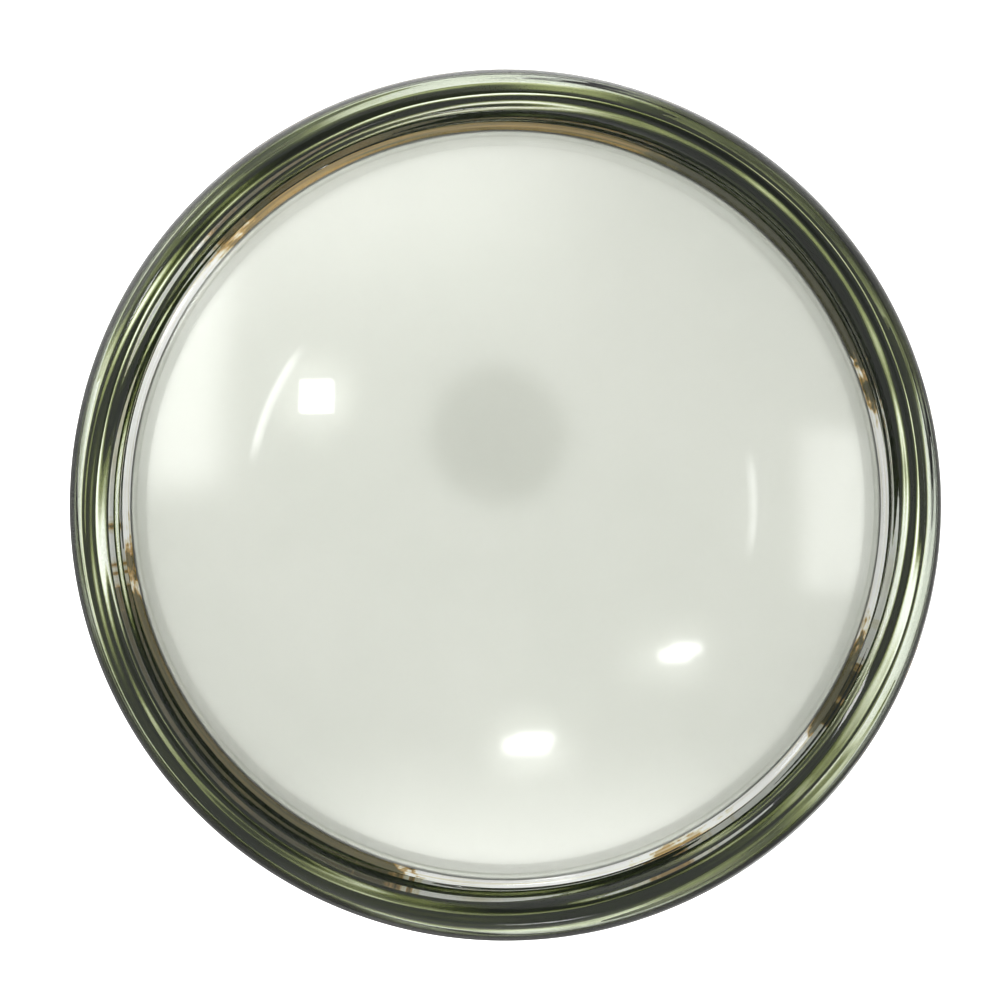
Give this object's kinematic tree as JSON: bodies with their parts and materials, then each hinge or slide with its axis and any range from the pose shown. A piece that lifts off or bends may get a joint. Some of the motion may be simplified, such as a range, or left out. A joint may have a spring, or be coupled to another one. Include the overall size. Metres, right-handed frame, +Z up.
{
  "type": "convex traffic mirror",
  "caption": "Round domed convex mirror with a thick clear glass edge, in a pressed back shell, that pans and tilts on a bolted wall bracket.",
  "frame": {"origin": "centre of the wall plate's back face, on the wall", "axes": "+Z up, +Y into the wall, the mirror looks along -Y, +X to the right of someone looking into the mirror"},
  "size_m": [0.3, 0.2163, 0.3],
  "materials": {
    "clear_glass": "clear, thick, with a green tint at the edge",
    "silvering": "milky silver, soft reflection",
    "black_rubber": "matte moulded rubber",
    "foam": "closed-cell sponge rubber",
    "grey_paint": "pale grey powder coat",
    "galvanised_steel": "hot-dip galvanised, dull spangle",
    "stainless_steel": "bright rolled stainless",
    "nylon": "natural nylon",
    "black_plastic": "matte moulded plastic"
  },
  "bodies": {
    "wall_mount": {"wall_plate": "galvanised_steel", "pan_bolt": "stainless_steel", "pan_washer_upper": "stainless_steel", "pan_washer_lower": "stainless_steel", "pan_nut": "stainless_steel"},
    "swivel": {"swivel_knuckle": "galvanised_steel", "pan_bush_upper": "nylon", "pan_bush_lower": "nylon", "tilt_bush_left": "nylon", "tilt_bush_right": "nylon"},
    "mirror_head": {"glass_lens": "clear_glass", "reflector_dish": "silvering", "cushion_ring": "foam", "lens_gasket": "black_rubber", "back_shell": "grey_paint", "drain_grommet": "black_rubber", "vent_plug": "black_plastic", "clamp_band": "stainless_steel", "band_bolt": "stainless_steel", "band_nut": "stainless_steel", "tilt_bracket": "galvanised_steel", "shell_doubler": "galvanised_steel", "bracket_bolt_1": "stainless_steel", "bracket_bolt_2": "stainless_steel", "bracket_bolt_3": "stainless_steel", "bracket_bolt_4": "stainless_steel", "bracket_nut_1": "stainless_steel", "bracket_nut_2": "stainless_steel", "bracket_nut_3": "stainless_steel", "bracket_nut_4": "stainless_steel", "tilt_bolt": "stainless_steel", "tilt_washer_left": "stainless_steel", "tilt_washer_right": "stainless_steel", "tilt_nut": "stainless_steel"}
  },
  "joints": [
    {"name": "mirror_pan", "type": "hinge", "parent": "wall_mount", "child": "swivel", "pos_m": [0, -0.034, 0], "axis": [0, 0, 1], "range_deg": [-35, 35]},
    {"name": "mirror_tilt", "type": "hinge", "parent": "swivel", "child": "mirror_head", "pos_m": [0, -0.078, 0], "axis": [1, 0, 0], "range_deg": [-15, 25]}
  ]
}
